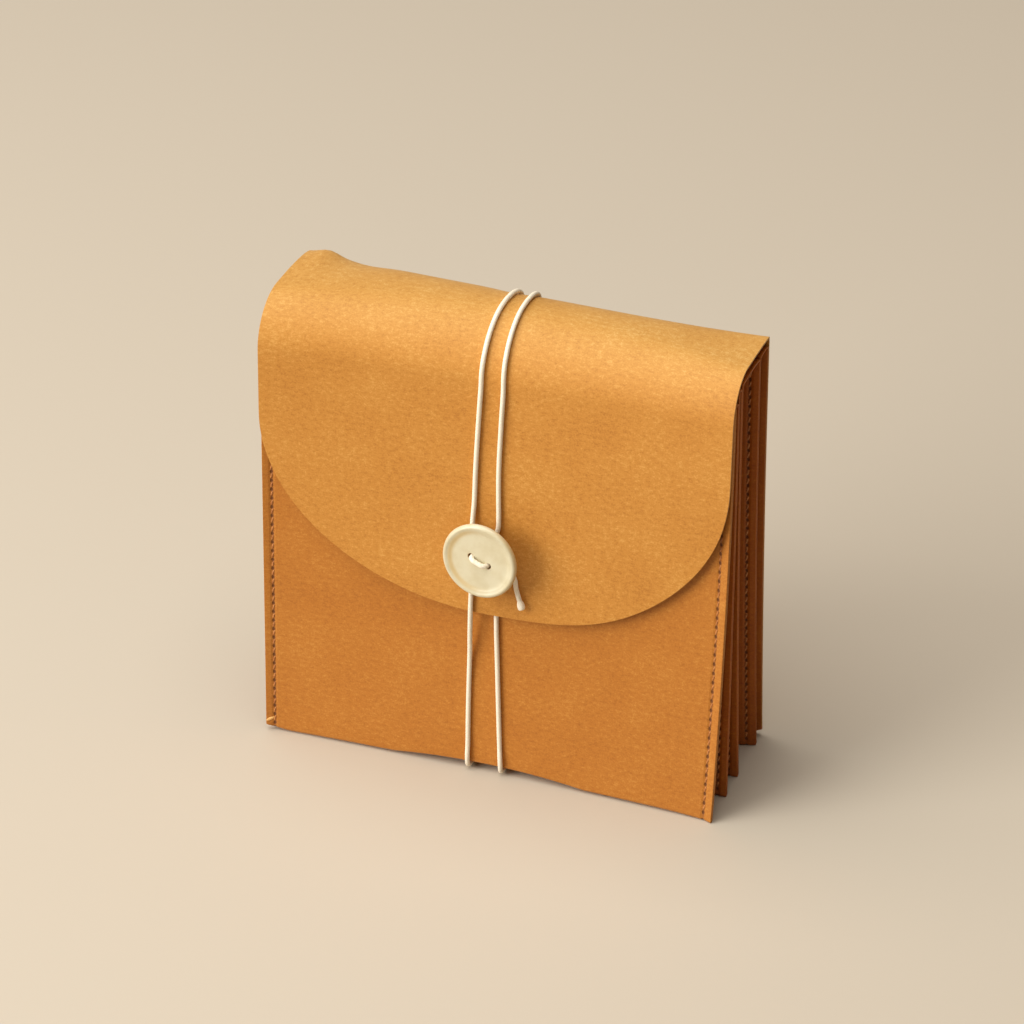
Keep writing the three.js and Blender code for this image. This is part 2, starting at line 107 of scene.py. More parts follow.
# %% Sizes of the sheets
WIDTH = 150.0
HALF = WIDTH / 2
HEIGHT = 150.8
BACK = {"bottom": (48, 46.5, 47.5), "top": (BACK_TOP, BACK_TOP, BACK_TOP)}
INSIDE = {"bottom": (0.4, 6.6, 0.4), "top": (0.4, 4.4, 0.4)}
BETWEEN = (
    {"bottom": (13.5, 2.8, 12.8), "top": (8, 1, 1.2)},
    {"bottom": (10.5, 2.8, 10), "top": (3, 1, 1.2)},
    {"bottom": (17, 2.8, 17), "top": (16.8, 1, 15.8)},
    {"bottom": (4.2, 2.8, 4.2), "top": (6.2, 1, 6.4)},
)
POCKETS = len(BETWEEN) + 1
FLARE = (1.2, 1.25, 2)
FOLD_TOP = (143.0, 146.5, 147.5, 147.5)
FRONT_TOP = 140.5
ARCH = 1.9
ARCH_HALF = 32.0
CORNER_RISE = {1: (1.8, 0), 5: (0, 2.4)}
CORNER_LONG = 14.0
BACK_DROP = (0.3, 2.8, 0.3)
CREASE_WAVES = ((-68.7, 4.5, 2.3), (-54.5, 7, -1.2), (-6.5, 6, -0.9))
SHOULDER_TOP_Y = (13, 26, 20)
SHOULDER_TOP_Z = (154.5, 153.8, 151.5)
SHOULDER_END_Y = (-2.5, 6.8, 7)
SHOULDER_END_Z = (139, 135.5, 136)
FLAP_LOW_Y = (-5, -0.4, 2.9)
FLAP_LOW_Z = 60.0
FLAP_ROUND_Z = 118.0
FLAP_ROUND_LONG = 59.5
FLAP_POWER = (2, 2.2)
FLAP_SAG = 1.8
SEAM_INSET = 2.8
EDGE_FLARE = 0.8
print("pockets:", POCKETS)

# %% [markdown]
# These formulas turn the sizes into places. Across the width a value follows a parabola, which is
# near to the line of a sheet that puffs between two sewn sides, and up the wallet it eases from
# the bottom to the top. The cover has a formula of its own, from the crease over the top and the
# shoulder down to its round edge.

# %% Where the sheets stand


def across(sizes, x):
    """A value between the left, middle and right values, on a parabola over the width."""
    left, middle, right = sizes
    s = x / HALF
    return middle + (right - left) / 2 * s + ((right + left) / 2 - middle) * s * s


def upward(size, x, z):
    """A size that eases from its bottom value to its top value up the wallet."""
    flare = max(0, 1 - z / HEIGHT) ** across(FLARE, x)
    top = across(size["top"], x)
    return top + (across(size["bottom"], x) - top) * flare


def panel_y(pocket, side, x, z):
    """How far back a pocket's front or back sheet stands. The front pocket's edges flare forward
    outside their seams."""
    y = upward(BACK, x, z)
    if pocket == 1:
        y -= EDGE_FLARE * max(0, abs(x) - HALF + SEAM_INSET) / SEAM_INSET
    for k in range(POCKETS, pocket - 1, -1):
        if k < POCKETS:
            y -= PAPER + upward(BETWEEN[k - 1], x, z)
        if k > pocket or side == "front":
            y -= PAPER + upward(INSIDE, x, z)
    return y


def foot_z(x, pocket):
    """Height of a pocket's bottom edge, which arches over the tie cord. Two corners curl up."""
    end = max(0, (abs(x) - HALF) / CORNER_LONG + 1)
    curl = CORNER_RISE.get(pocket, (0, 0))[x > 0] * end ** 3
    return ARCH * max(0, 1 - (x / ARCH_HALF) ** 2) + curl


def back_top(x):
    """Height at which the back starts to round over into the top. The crease has small waves, each
    with a place, a width and a rise."""
    waves = sum(rise * math.exp(-((x - place) / wide) ** 2) for place, wide, rise in CREASE_WAVES)
    return HEIGHT - across(BACK_DROP, x) + waves


def flap_edge_z(x):
    """Lower edge of the flap, half an ellipse that is a little fuller on its right."""
    s = min(1, abs(x) / HALF)
    power = FLAP_POWER[0] if x < 0 else FLAP_POWER[1]
    sag = 0 if x < 0 else FLAP_SAG * math.sin(math.pi * s) ** 2
    return FLAP_ROUND_Z - FLAP_ROUND_LONG * (1 - s ** power) ** (1 / power) - sag


def flap_y(x, z):
    """How far back the flap's face stands at a height."""
    end_y = across(SHOULDER_END_Y, x)
    end_z = across(SHOULDER_END_Z, x)
    share = (end_z - z) / (end_z - FLAP_LOW_Z)
    return end_y + (across(FLAP_LOW_Y, x) - end_y) * share


def cover_at(x, s):
    """The cover from the top of the back, s = 0, over the top to the shoulder, s = 1 to 2, and down
    to the flap's edge, s = 3: how far back, how high, and the way out as a share of each."""
    back_z = back_top(x)
    top_y = across(SHOULDER_TOP_Y, x)
    top_z = across(SHOULDER_TOP_Z, x)
    end_y = across(SHOULDER_END_Y, x)
    end_z = across(SHOULDER_END_Z, x)
    if s <= 1:
        turn = s * math.pi / 2
        y = top_y + (BACK_TOP - top_y) * math.cos(turn)
        z = back_z + (top_z - back_z) * math.sin(turn)
        way = ((top_y - BACK_TOP) * math.sin(turn), (top_z - back_z) * math.cos(turn))
    elif s <= 2:
        turn = (s - 1) * math.pi / 2
        y = top_y - (top_y - end_y) * math.sin(turn)
        z = end_z + (top_z - end_z) * math.cos(turn)
        way = (-(top_y - end_y) * math.cos(turn), -(top_z - end_z) * math.sin(turn))
    else:
        z = end_z + (flap_edge_z(x) - end_z) * (s - 2)
        y = flap_y(x, z)
        way = (y - end_y, z - end_z - 1e-6)
    long = math.hypot(*way)
    return y, z, way[1] / long, -way[0] / long


def at(x, y, z):
    """A point of the wallet, from millimetres to the frame's metres."""
    return Vector((x, y + SHIFT, z)) * MM


front_lean = [round(panel_y(1, "front", 0, z), 1) for z in (0, FRONT_TOP)]
print("front pocket leans from", front_lean[0], "to", front_lean[1])

# %% [markdown]
# Shader sums read best as sums. This small class holds one output of a node, and adding or
# multiplying two of them puts a Math node between them. Every other node comes from one function,
# which takes the node's type, its settings and what goes into its sockets.

# %% Shader sums as Python sums


class Wire:
    """One output socket of a material's node tree."""

    def __init__(self, tree, socket):
        self.tree = tree
        self.socket = socket

    def maths(self, operation, first, second=0.0):
        return node(self.tree, "ShaderNodeMath", {"operation": operation}, {0: first, 1: second})

    def __add__(self, other):
        return self.maths("ADD", self, other)

    def __radd__(self, other):
        return self.maths("ADD", other, self)

    def __sub__(self, other):
        return self.maths("SUBTRACT", self, other)

    def __rsub__(self, other):
        return self.maths("SUBTRACT", other, self)

    def __mul__(self, other):
        return self.maths("MULTIPLY", self, other)

    def __rmul__(self, other):
        return self.maths("MULTIPLY", other, self)

    def __abs__(self):
        return self.maths("ABSOLUTE", self)

    def __mod__(self, other):
        return self.maths("FLOORED_MODULO", self, other)


def node(tree, kind, settings, inputs, output=0):
    """Adds a node: its settings come first, then a value or a wire for each named socket."""
    made = tree.nodes.new(kind)
    for name, value in settings.items():
        setattr(made, name, value)
    for name, value in inputs.items():
        if isinstance(value, Wire):
            tree.links.new(value.socket, made.inputs[name])
        else:
            made.inputs[name].default_value = value
    return Wire(tree, made.outputs[output])


print("shader sums ready")

# %% [markdown]
# A finish starts from the Principled shader, whose plain values are set on its own sockets. The
# other helpers make what the wallet's finishes share: a soft step, a mix of two colours, a cloudy
# noise and a stretch.

# %% Parts of a finish


def finish(name, colour, roughness, **sockets):
    """A new material: its tree, and its Principled shader with the colour and roughness set."""
    material = bpy.data.materials.new(name)
    material.use_nodes = True
    tree = material.node_tree
    shader = tree.nodes["Principled BSDF"]
    shader.inputs["Base Color"].default_value = (*colour, 1)
    shader.inputs["Roughness"].default_value = roughness
    for socket, value in sockets.items():
        shader.inputs[socket.replace("_", " ")].default_value = value
    return material, tree, shader


def ramp(wire, low, high):
    """0 below low, 1 above high and smooth between."""
    settings = {"interpolation_type": "SMOOTHSTEP"}
    inputs = {"Value": wire, "From Min": low, "From Max": high}
    return node(wire.tree, "ShaderNodeMapRange", settings, inputs)


def ramp_mm(wire, low, high):
    """The same with both ends in millimetres."""
    return ramp(wire, low * MM, high * MM)


def tint(share, plain, tinted, way="MIX"):
    """A colour between two colours, or with MULTIPLY a share of the way to their product."""
    inputs = {"Factor": share, 6: plain, 7: tinted}
    return node(share.tree, "ShaderNodeMix", {"data_type": "RGBA", "blend_type": way}, inputs, 2)


def noise(where, scale, detail=3.0, rough=0.55):
    """Cloudy noise, 0 to 1, with that many features to the metre."""
    inputs = {"Vector": where, "Scale": scale, "Detail": detail, "Roughness": rough}
    return node(where.tree, "ShaderNodeTexNoise", {}, inputs)


def stretched(where, scale):
    """The same coordinates, stretched along each axis."""
    return node(where.tree, "ShaderNodeMapping", {}, {"Vector": where, "Scale": scale})


print("parts of a finish ready")

# %% [markdown]
# The paper is a washable kraft sheet: tan, almost matt, with short fibres that lie mostly
# sideways and cloudy patches as from pulp. Three sizes of noise on the sheet's flat coordinates
# give that, so the grain follows the paper round its bends. The front pocket's paper is darkened
# with painted shade for the flap's shadow, and the sheets inside the accordion are darker and
# browner with painted shade for the shade between the pockets. Over the top the cover is painted
# paler and yellower, a painted highlight where the overhead light falls. Where a side is sewn, the
# needle left a row of small holes, painted dark as the shade in them, and the paper between is
# pressed in a little, with painted shade along the pressed line.

# %% Kraft paper
SEAM_END = 3.0
STITCH_PITCH = 3.2
KRAFT = (0.56, 0.238, 0.036)
KRAFT_DARK = (0.45, 0.172, 0.022)
KRAFT_PALE = (0.665, 0.335, 0.074)
# painted shade: the front pocket's paper darkened for the flap's shadow and the weaker light on it
FRONT_PAINTED_SHADE = (0.87, 0.735, 0.55)
# painted shade: the sheets inside the accordion darkened and browned for the shade between the pockets
INNER_PAINTED_SHADE = (0.74, 0.45, 0.15)
SHEEN = (1.0, 0.86, 0.6, 1)
# needle holes, with a dark colour that is painted shade inside them
NEEDLE_HOLE_SHADE = (0.13, 0.036, 0.006)
# painted shade along the pressed line of a seam
SEAM_PAINTED_SHADE = (0.26, 0.08, 0.015)
# painted highlight: the top of the cover painted paler and yellower where the overhead light falls
TOP_HIGHLIGHT = (1.02, 1.19, 1.6)
TOP_HIGHLIGHT_TO = (170, 200)
COVER_SHEEN = 0.3
FRONT_SHEEN = 0.25
INNER_SHEEN = 0.05
CLOUDS = {"scale": 45, "tone": 0.65, "relief": 2.2}
FIBRES = {"scale": 520, "tone": 1.4, "relief": 0.6}
GRAIN = {"scale": 1900, "tone": 1.1, "relief": 0.4}
FIBRE_STRETCH = (1, 1.6, 1)
DARK_TONES = (-0.42, 0.02)
PALE_TONES = (-0.02, 0.42)
PAPER_RELIEF = 0.00014
PAPER_ROUGHNESS = 0.62
HOLE_EDGE = (0.25, 0.62)
HOLE_SHADE_TINT = 0.92
HOLE_RELIEF = 6.0
PRESSED_EDGE = (0.2, 1.2)
PRESSED_RELIEF = 3.0
GROOVE_SHADE_EDGE = (0.15, 0.6)
GROOVE_SHADE_TINT = 0.5


def kraft_paper(name, sewn, sheen, shade=(1, 1, 1), painted_top_highlight=False):
    """A kraft paper with painted shade, with or without seam marks and a painted highlight on top."""
    # shade darkens the paper with painted shade
    tones = (KRAFT, KRAFT_DARK, KRAFT_PALE)
    plain, dark, pale = ([*(c * s for c, s in zip(tone, shade)), 1] for tone in tones)
    material, tree, shader = finish(name, KRAFT, PAPER_ROUGHNESS, Specular_IOR_Level=0.35,
                                    Sheen_Weight=sheen, Sheen_Roughness=0.4, Sheen_Tint=SHEEN)
    flat = node(tree, "ShaderNodeUVMap", {"uv_map": "flat"}, {})
    clouds = noise(flat, CLOUDS["scale"], 4.0, 0.6)
    fibres = noise(stretched(flat, FIBRE_STRETCH), FIBRES["scale"], 4.0, 0.7)
    grain = noise(flat, GRAIN["scale"], 3.0, 0.7)
    tone = CLOUDS["tone"] * (clouds - 0.5) + FIBRES["tone"] * (fibres - 0.5)
    tone = tone + GRAIN["tone"] * (grain - 0.5)
    colour = tint(ramp(tone, *DARK_TONES), dark, plain)
    colour = tint(ramp(tone, *PALE_TONES), colour, pale)
    height = CLOUDS["relief"] * clouds + FIBRES["relief"] * fibres + GRAIN["relief"] * grain
    split = node(tree, "ShaderNodeSeparateXYZ", {}, {0: flat})
    along = Wire(tree, split.socket.node.outputs[1])
    # painted highlight on the top of the cover
    if painted_top_highlight:
        colour = tint(1 - ramp_mm(along, *TOP_HIGHLIGHT_TO), colour, (*TOP_HIGHLIGHT, 1), "MULTIPLY")
    if sewn:
        aside = abs(abs(split) - (HALF - SEAM_INSET) * MM)
        step = abs((along - SEAM_END * MM) % (STITCH_PITCH * MM) - STITCH_PITCH * MM / 2)
        step = STITCH_PITCH * MM / 2 - step
        away = aside.maths("SQRT", aside * aside + 0.5 * step * step)
        hole = 1 - ramp_mm(away, *HOLE_EDGE)
        pressed = 1 - ramp_mm(aside, *PRESSED_EDGE)
        # painted shade along the seam's pressed line
        groove_shade = 1 - ramp_mm(aside, *GROOVE_SHADE_EDGE)
        colour = tint(GROOVE_SHADE_TINT * groove_shade, colour, (*SEAM_PAINTED_SHADE, 1))
        # painted shade in the needle holes
        colour = tint(HOLE_SHADE_TINT * hole, colour, (*NEEDLE_HOLE_SHADE, 1))
        height = height - HOLE_RELIEF * hole - PRESSED_RELIEF * pressed
    tree.links.new(colour.socket, shader.inputs["Base Color"])
    bump = node(tree, "ShaderNodeBump", {}, {"Strength": 0.5, "Distance": PAPER_RELIEF, "Height": height})
    tree.links.new(bump.socket, shader.inputs["Normal"])
    rough = 0.5 + 0.24 * fibres
    tree.links.new(rough.socket, shader.inputs["Roughness"])
    return material


front_shaded_kraft = kraft_paper("front_shaded_kraft", True, FRONT_SHEEN, FRONT_PAINTED_SHADE)
inner_shaded_kraft = kraft_paper("inner_shaded_kraft", True, INNER_SHEEN, INNER_PAINTED_SHADE)
# the cover papers carry the painted highlight on top
sewn_kraft = kraft_paper("sewn_kraft", True, COVER_SHEEN, painted_top_highlight=True)
cover_kraft = kraft_paper("cover_kraft", False, COVER_SHEEN, painted_top_highlight=True)
print("paper:", front_shaded_kraft.name, inner_shaded_kraft.name, sewn_kraft.name, cover_kraft.name)

# %% [markdown]
# A sheet starts as a flat grid with a flat map on it, as the paper did. Then each row of the grid
# goes to its station: down the front of a pocket, round its bottom fold and up its back. A
# Solidify modifier gives the paper its thickness, and a fine bevel takes the razor edge off the
# cut, which is what catches the light along every rim.

# %% Bent sheets of paper
EDGE_ROUND = 0.14
EDGE_ANGLE = math.radians(60)


def piece_of(name, bm, *materials):
    """Ends the modelling of a bmesh: a new piece at the origin, with these materials."""
    mesh = bpy.data.meshes.new(name)
    bm.to_mesh(mesh)
    bm.free()
    for material in materials:
        mesh.materials.append(material)
    piece = bpy.data.objects.new(name, mesh)
    bpy.context.scene.collection.objects.link(piece)
    return piece


def paper_piece(name, widths, stations, place, material):
    """A sheet with a column of points at each width and a row at each station. place(x, station)
    gives the point and its place on the flat map, both in metres."""
    bm = bmesh.new()
    flat = bm.loops.layers.uv.new("flat")
    columns = len(widths) - 1
    rows = len(stations) - 1
    bmesh.ops.create_grid(bm, x_segments=columns, y_segments=rows, size=0.5)
    mapped = {}
    for vert in bm.verts:
        x = widths[round((vert.co.x + 0.5) * columns)]
        station = stations[round((vert.co.y + 0.5) * rows)]
        vert.co, mapped[vert.index] = place(x, station)
    for face in bm.faces:
        face.smooth = True
        for loop in face.loops:
            loop[flat].uv = mapped[loop.vert.index]
    return piece_of(name, bm, material)


def thicken(piece):
    """Gives a sheet the paper's thickness and soft edges."""
    solid = piece.modifiers.new("thickness", "SOLIDIFY")
    solid.thickness = PAPER * MM
    solid.offset = 0
    solid.use_even_offset = True
    edge = piece.modifiers.new("soft edge", "BEVEL")
    edge.width = EDGE_ROUND * MM
    edge.segments = 2
    edge.limit_method = "ANGLE"
    edge.angle_limit = EDGE_ANGLE
    even = piece.modifiers.new("even light", "WEIGHTED_NORMAL")
    even.keep_sharp = True


print("paper is", PAPER, "mm thick")

# %% [markdown]
# A pocket is one sheet: down its front, round a fold at the bottom and up its back. The columns of
# its grid are closest outside the seams, where a narrow edge stands free, and the bottom fold is
# shallow, as pressed paper is. The front pocket has its own paper, darkened with painted shade for
# the flap's shadow, and the others have the browner one, with painted shade for the shade between
# the pockets.

# %% Pocket leaves
COLUMNS = 72
EDGE_COLUMNS = 3
PANEL_ROWS = 30
FOLD_ROWS = 10
FOLD_DEPTH = 1.4
BACK_MAP = 0.4
POCKET_MAP = 0.8


def spread(count, low, high):
    """Evenly spaced values, both ends included."""
    return [low + (high - low) * i / count for i in range(count + 1)]


def folded_leaf():
    """Stations of a pocket's sheet: down the front, round the bottom fold, up the back."""
    front = [("front", v) for v in spread(PANEL_ROWS, 1, 0)]
    fold = [("fold", v) for v in spread(FOLD_ROWS, 0, 1)[1:-1]]
    back = [("back", v) for v in spread(PANEL_ROWS, 0, 1)]
    return front + fold + back


def leaf_at(pocket, front_top, top_of_back):
    """The place function of a pocket's sheet, whose back reaches up to top_of_back(x)."""
    offset = POCKET_MAP * pocket

    def place(x, station):
        part, v = station
        low = foot_z(x, pocket) + PAPER / 2
        half = (panel_y(pocket, "back", x, low) - panel_y(pocket, "front", x, low)) / 2
        deep = min(half, FOLD_DEPTH)
        low += deep
        if part == "front":
            z = low + (front_top - low) * v
            return at(x, panel_y(pocket, "front", x, z), z), (x * MM, z * MM + offset)
        if part == "back":
            z = low + (top_of_back(x) - low) * v
            return at(x, panel_y(pocket, "back", x, z), z), (x * MM, z * MM + offset + BACK_MAP)
        turn = v * math.pi
        middle = panel_y(pocket, "front", x, low) + half
        z = low - deep * math.sin(turn)
        return at(x, middle - half * math.cos(turn), z), (x * MM, offset - v * half * MM)

    return place


between_seams = spread(COLUMNS, SEAM_INSET - HALF, HALF - SEAM_INSET)
edge_strip = spread(EDGE_COLUMNS, HALF - SEAM_INSET, HALF)[1:]
columns = [-x for x in reversed(edge_strip)] + between_seams + edge_strip
for pocket in range(1, POCKETS):
    front_top = FRONT_TOP if pocket == 1 else FOLD_TOP[pocket - 2]
    place = leaf_at(pocket, front_top, lambda x, k=pocket: FOLD_TOP[k - 1])
    # both papers carry painted shade: the front one for the flap's shadow, the inner one for the shade
    # between the pockets
    paper = front_shaded_kraft if pocket == 1 else inner_shaded_kraft
    leaf = paper_piece(f"pocket_{pocket}_leaf", columns, folded_leaf(), place, paper)
    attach(leaf, f"pocket_{pocket}")
    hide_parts(*(f"pocket_{pocket}_{part}" for part in ("front_panel", "back_panel", "bottom_fold")))
    thicken(leaf)
print("pocket leaves:", POCKETS - 1)

# %% [markdown]
# Between two pockets the paper turns over a narrow ridge at the top. It is a strip bent into an
# arch, from the back of one pocket to the front of the next, and it rides with the rear one.

# %% Top ridges of the accordion
RIDGE_RISE = 0.6
RIDGE_MAP = 0.2


def ridge_at(pocket):
    """The place function of the ridge behind a pocket."""
    top = FOLD_TOP[pocket - 1]

    def place(x, v):
        front = panel_y(pocket, "back", x, top)
        back = panel_y(pocket + 1, "front", x, top)
        turn = v * math.pi
        y = (front + back) / 2 - (back - front) / 2 * math.cos(turn)
        z = top + RIDGE_RISE * math.sin(turn)
        return at(x, y, z), (x * MM, POCKET_MAP * pocket + RIDGE_MAP + v * (back - front) * MM)

    return place


ridge_stations = spread(FOLD_ROWS, 0, 1)
for pocket in range(1, POCKETS):
    # the ridges are in the inner paper with painted shade
    ridge = paper_piece(f"top_ridge_{pocket}", columns, ridge_stations, ridge_at(pocket), inner_shaded_kraft)
    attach(ridge, f"pocket_{pocket + 1}" if pocket + 1 < POCKETS else "back_pocket")
    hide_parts(f"top_fold_{pocket}")
    thicken(ridge)
print("top ridges:", POCKETS - 1)

# %% [markdown]
# The last pocket's back is the cover. Its sheet goes on over the crease, which is sharp at both
# ends and drawn round by the cord in the middle. The part of the sheet that is the last pocket's
# front lies inside the accordion, so it is in the browner paper, darkened with painted shade for
# the shade between the pockets.

# %% Back cover
COVER_JOIN = 0.8
COVER_MAP = 1.0
MAP_STEPS = 24
CREASE_START = (0, 41.5, 147.6)
CREASE_STOP = (0, 40.2, 151.0)
CREASE_ROWS = (0.02, 0.05, 0.09, 0.14)
TOP_START = 0.2
TOP_ROWS = 10


def cover_leaf_at():
    """The place function of the back cover's sheet, which goes on over the crease."""
    leaf = leaf_at(POCKETS, FOLD_TOP[-1], back_top)

    def place(x, station):
        part, v = station
        if part in ("front", "fold", "back"):
            return leaf(x, station)
        y, z, _, _ = cover_at(x, v)
        return at(x, y, z), cover_map(x, v)

    return place


def cover_map(x, s):
    """Place on the flat map: along the middle of the cover as far as the shoulder, then straight
    down the flap."""
    steps = [cover_at(0, min(s, 2) * i / MAP_STEPS) for i in range(MAP_STEPS + 1)]
    run = sum(math.dist(a[:2], b[:2]) for a, b in zip(steps, steps[1:]))
    run += math.dist(cover_at(x, min(s, 2))[:2], cover_at(x, s)[:2])
    return (x * MM + COVER_MAP, (HEIGHT + run) * MM)


cover_stations = folded_leaf()
cover_stations += [("top", s) for s in (*CREASE_ROWS, *spread(TOP_ROWS, TOP_START, COVER_JOIN))]
back_cover = paper_piece("back_cover", columns, cover_stations, cover_leaf_at(), sewn_kraft)
# the faces inside the accordion get the inner paper with painted shade
back_cover.data.materials.append(inner_shaded_kraft)
for face in back_cover.data.polygons:
    part, _ = cover_stations[face.index // (len(columns) - 1)]
    face.material_index = int(part in ("front", "fold"))
at(*CREASE_START)
at(*CREASE_STOP)
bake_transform(back_cover)
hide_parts("back_cover_panel", "pocket_5_front_panel", "pocket_5_bottom_fold", "cover_spine")
thicken(back_cover)
print("back cover:", len(cover_stations), "rows")

# %% [markdown]
# The flap's sheet takes over on the top, where the paper is nearly flat, and bends at the shoulder.
# It has the same flat map as the back cover, so the grain runs on over the join. Its columns crowd
# towards both sides, where the round edge turns up steeply, which keeps the outline smooth.

# %% Round flap
SHOULDER_START = (0, 20, 154)
SHOULDER_STOP = (0, 3.5, 137.5)
FLAP_COLUMNS = 72
JOIN_ROWS = 8
SHOULDER_ROWS = 20
FLAP_ROWS = 40

flap_widths = [HALF * math.sin(t) for t in spread(FLAP_COLUMNS, -math.pi / 2, math.pi / 2)]
flap_stations = spread(JOIN_ROWS, COVER_JOIN, 1)[:-1] + spread(SHOULDER_ROWS, 1, 2)[:-1]
flap_stations += spread(FLAP_ROWS, 2, 3)


def flap_at(x, s):
    """The place function of the flap's sheet."""
    y, z, _, _ = cover_at(x, s)
    return at(x, y, z), cover_map(x, s)


flap = paper_piece("round_flap", flap_widths, flap_stations, flap_at, cover_kraft)
at(*SHOULDER_START)
at(*SHOULDER_STOP)
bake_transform(flap)
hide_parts("cover_flap", "cover_spine")
thicken(flap)
print("round flap:", len(flap_stations), "rows")

# %% [markdown]
# The stitches are a lockstitch in a brown thread, a shade darker than the paper: each one lies
# slanted, thick in the middle, and dives into a dark hole at both ends. A stretched small sphere,
# half sunk, is all that a stitch of this size shows, and a loop lays them along both sides of each
# pocket, front and back. At the bottom left a paler loose end of the thread sticks out.

# %% Side stitches
STITCH_LONG = 1.12
STITCH_WIDE = 0.36
STITCH_HIGH = 0.34
STITCH_SLANT = 16.0
STITCH_SINK = 0.06
STITCH_SIDES = 8
STITCH_RINGS = 6
THREAD = (0.34, 0.11, 0.022)
THREAD_PALE = (0.52, 0.21, 0.055)
LOOSE_THREAD = (0.78, 0.43, 0.13)
THREAD_ROUGHNESS = 0.55
LOOSE_ROUGHNESS = 0.6
LOOSE_END = {"x": -73.6, "z": 4.3, "long": 1.6, "wide": 0.6, "slant": 62.0}
STRAND_SCALE = 2200
STRAND_STRETCH = (1, 1, 0.4)

seam_thread, tree, shader = finish("seam_thread", THREAD, THREAD_ROUGHNESS)
where = node(tree, "ShaderNodeTexCoord", {}, {}, 3)
strands = noise(stretched(where, STRAND_STRETCH), STRAND_SCALE, 2.0)
shade = tint(ramp(strands, 0.35, 0.65), (*THREAD, 1), (*THREAD_PALE, 1))
tree.links.new(shade.socket, shader.inputs["Base Color"])
loose_thread, _, _ = finish("loose_thread", LOOSE_THREAD, LOOSE_ROUGHNESS)


def add_stitch(bm, pocket, face, x, z, long=STITCH_LONG, wide=STITCH_WIDE, slant=STITCH_SLANT):
    """One stitch on the front (-1) or back (1) of a pocket."""
    sheet = "front" if face < 0 else "back"
    y = panel_y(pocket, sheet, x, z) + face * (PAPER / 2 - STITCH_SINK)
    rise = panel_y(pocket, sheet, x, z + 1) - panel_y(pocket, sheet, x, z)
    turn = panel_y(pocket, sheet, x + 1, z) - panel_y(pocket, sheet, x, z)
    lie = Matrix.Rotation(math.atan(turn), 4, "Z") @ Matrix.Rotation(-math.atan(rise), 4, "X")
    lean = Matrix.Rotation(math.radians(slant), 4, "Y")
    size = Matrix.Diagonal((wide * MM, STITCH_HIGH * MM, long * MM, 1))
    matrix = Matrix.Translation(at(x, y, z)) @ lie @ lean @ size
    bmesh.ops.create_uvsphere(bm, u_segments=STITCH_SIDES, v_segments=STITCH_RINGS, radius=1,
                              matrix=matrix)


def stitched_sides(pocket):
    """All stitches of a pocket in one piece."""
    top = FRONT_TOP if pocket == 1 else FOLD_TOP[pocket - 2]
    count = int((top - 2 * SEAM_END) / STITCH_PITCH)
    bm = bmesh.new()
    for side in (-1, 1):
        for face in (-1, 1):
            for i in range(count):
                z = SEAM_END + (i + 0.5) * STITCH_PITCH
                add_stitch(bm, pocket, face, side * (HALF - SEAM_INSET), z)
    if pocket == 1:
        sewn = set(bm.faces)
        add_stitch(bm, pocket, -1, **LOOSE_END)
        for face in set(bm.faces) - sewn:
            face.material_index = 1
    for face in bm.faces:
        face.smooth = True
    return piece_of(f"pocket_{pocket}_stitches", bm, seam_thread, loose_thread)


for pocket in range(1, POCKETS + 1):
    stitches = stitched_sides(pocket)
    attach(stitches, f"pocket_{pocket}" if pocket < POCKETS else "back_pocket")
    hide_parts(f"pocket_{pocket}_left_seam", f"pocket_{pocket}_right_seam")
print("stitches on", POCKETS, "pockets")

# %% [markdown]
# The button's plastic is a warm ivory with faint clouds. Its rim lets some light through, and that
# light is painted on as an amber glow, inside the rim on the left and outside it on the right.
# Painting these two arcs on a map would do as well, but the distance from the button's middle gives
# them in a few sums. The same sums paint both holes brown inside, as painted shade.

# %% Ivory finish
HOLE_SPACING = 6.26
HOLE_LINE = math.radians(-19.4)
IVORY = (0.60, 0.53, 0.345)
IVORY_PALE = (0.66, 0.605, 0.43)
# painted glow of the light that comes through the rim
IVORY_PAINTED_GLOW = (0.62, 0.42, 0.15)
IVORY_ROUGHNESS = 0.34
IVORY_CLOUD_SCALE = 200
# painted shade inside the holes
HOLE_PAINTED_SHADE = (0.30, 0.15, 0.045)
AMBER_INSIDE = (8.6, 9.9)
AMBER_INSIDE_END = (10.2, 11.2)
AMBER_OUTSIDE = (11.7, 12.4)
AMBER_LEFT = (-8.0, 4.0)
AMBER_RIGHT = (2.0, 10.0)
HOLE_SHADE_TO = (0.85, 1.2)
FACING = Vector(JOINTS["button_swivel"]["axis"]).normalized()
BUTTON_PLACE = Vector(JOINTS["button_swivel"]["pos_m"])
button_x = (Vector((1, 0, 0)) - FACING * FACING.x).normalized()
button_y = FACING.cross(button_x)
button_turn = Matrix((button_x, button_y, FACING)).transposed().to_4x4()
BUTTON_FRAME = Matrix.Translation(BUTTON_PLACE) @ button_turn

ivory, tree, shader = finish("ivory_button", IVORY, IVORY_ROUGHNESS, Coat_Weight=0.2, Coat_Roughness=0.25)
where = node(tree, "ShaderNodeTexCoord", {}, {}, 3)
settings = {"vector_type": "TEXTURE"}
inputs = {"Vector": where, "Location": BUTTON_PLACE, "Rotation": BUTTON_FRAME.to_euler()}
on_face = node(tree, "ShaderNodeMapping", settings, inputs)
split = node(tree, "ShaderNodeSeparateXYZ", {}, {0: on_face})
aside, upright = split, Wire(tree, split.socket.node.outputs[1])
from_middle = split.maths("SQRT", aside * aside + upright * upright)
clouds = noise(where, IVORY_CLOUD_SCALE, 3.0)
shade = tint(ramp(clouds, 0.3, 0.7), (*IVORY, 1), (*IVORY_PALE, 1))
